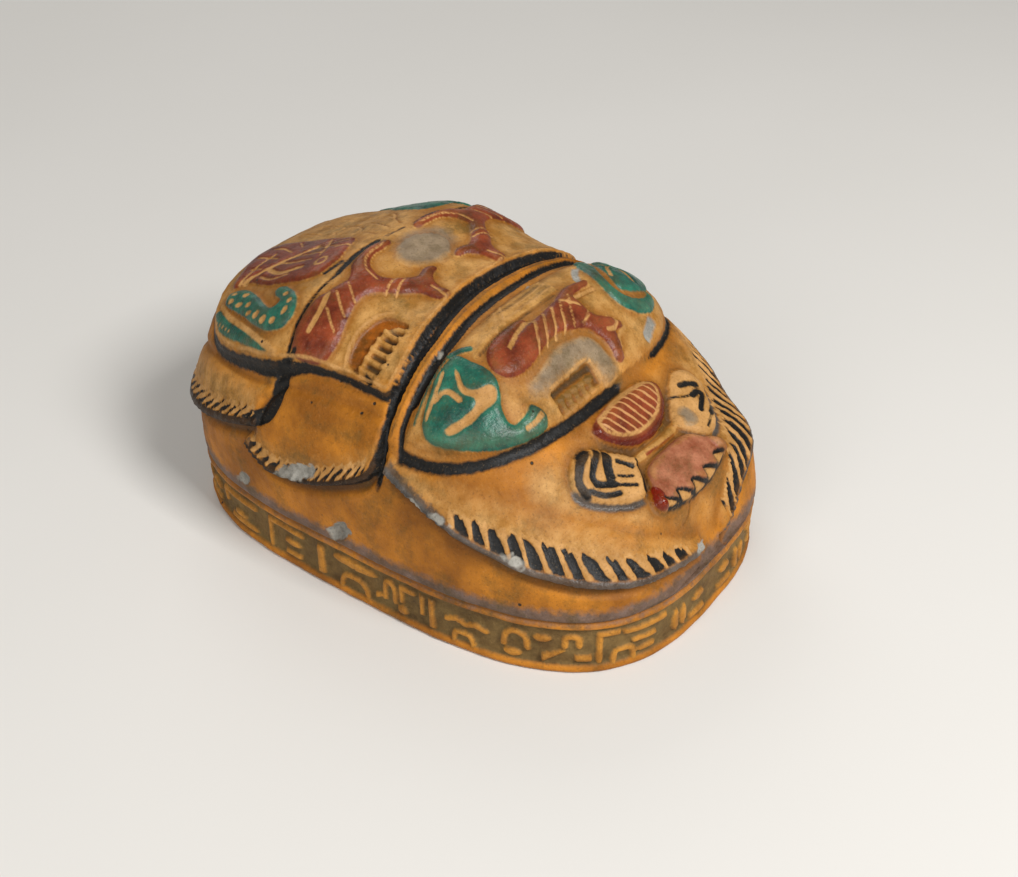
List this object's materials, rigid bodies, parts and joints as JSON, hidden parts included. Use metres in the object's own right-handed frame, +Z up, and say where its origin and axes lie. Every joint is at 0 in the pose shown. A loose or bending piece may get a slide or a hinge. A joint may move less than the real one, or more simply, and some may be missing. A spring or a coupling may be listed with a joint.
{
  "type": "scarab amulet",
  "caption": "Domed beetle carved in relief on an oval plinth with a band of raised strokes, cast in one piece and painted.",
  "frame": {"origin": "middle of the flat underside, on the surface that the amulet stands on", "axes": "+Z up from the underside, +Y along the length towards the tail, so the head points to -Y; +X is the beetle's left"},
  "size_m": [0.0882, 0.13, 0.0665],
  "materials": {
    "painted_cast_stone": "satin"
  },
  "bodies": {
    "root": {"scarab": "painted_cast_stone"}
  },
  "joints": []
}
